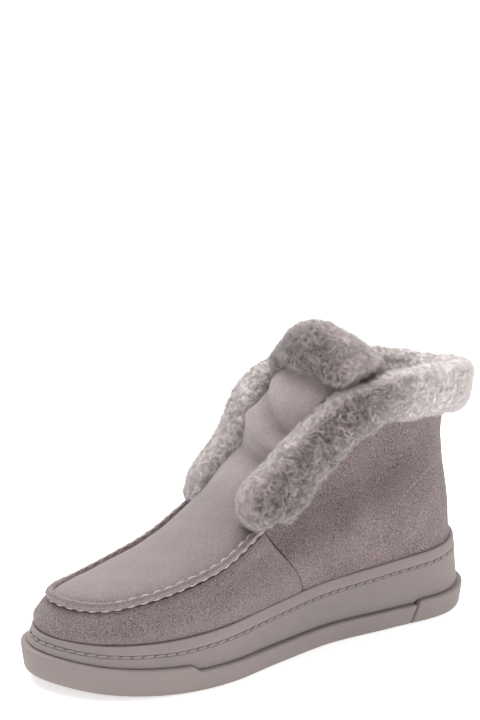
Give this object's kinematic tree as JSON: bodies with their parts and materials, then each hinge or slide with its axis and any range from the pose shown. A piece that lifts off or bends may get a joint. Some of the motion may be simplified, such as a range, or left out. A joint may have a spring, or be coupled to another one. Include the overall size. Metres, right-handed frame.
{
  "type": "slip-on ankle boot",
  "caption": "Suede moccasin-toe slip-on ankle boot with turned-down sheepskin cuffs and a folding tongue on a wedge cup sole.",
  "frame": {"origin": "on the ground under the middle of the outsole's length", "axes": "toe towards -Y, heel towards +Y, outer side of the left foot towards +X, up +Z"},
  "size_m": [0.0986, 0.2782, 0.1735],
  "materials": {
    "suede": "napped suede, matte",
    "smooth_suede": "fine napped suede, matte",
    "sheepskin_pile": "curly sheepskin pile",
    "sole_rubber": "matte moulded",
    "sewing_thread": "twisted thread",
    "sole_thread": "twisted thread",
    "shank_steel": "rolled",
    "cork": "pressed granules",
    "fibre_board": "pressed fibre",
    "foam": "open foam",
    "stiffener": "moulded sheet"
  },
  "bodies": {
    "root": {"outsole_forepart": "sole_rubber", "outsole_heel": "sole_rubber", "midsole": "sole_rubber", "sole_stitch": "sole_thread", "shank": "shank_steel", "bottom_filler": "cork", "insole_board": "fibre_board", "footbed_foam": "foam", "footbed_fleece": "sheepskin_pile", "vamp_wrap": "suede", "apron": "smooth_suede", "moc_seam_ridge": "smooth_suede", "moc_stitch_outer": "sewing_thread", "moc_stitch_inner": "sewing_thread", "toe_puff": "stiffener", "vamp_lining": "sheepskin_pile", "heel_counter": "stiffener", "quarter_lateral": "suede", "quarter_lining_lateral": "sheepskin_pile", "cuff_lateral": "sheepskin_pile", "counter_stitch_lateral": "sewing_thread", "quarter_medial": "suede", "quarter_lining_medial": "sheepskin_pile", "cuff_medial": "sheepskin_pile", "counter_stitch_medial": "sewing_thread"},
    "tongue": {"tongue": "smooth_suede", "tongue_lining": "sheepskin_pile", "tongue_cuff": "sheepskin_pile"}
  },
  "joints": [
    {"name": "tongue_fold", "type": "hinge", "parent": "root", "child": "tongue", "pos_m": [0, -0.0215, 0.0825], "axis": [1, 0, 0], "range_deg": [0, 40], "stiffness_Nm_per_rad": 0.15, "springref_deg": -5.73}
  ]
}
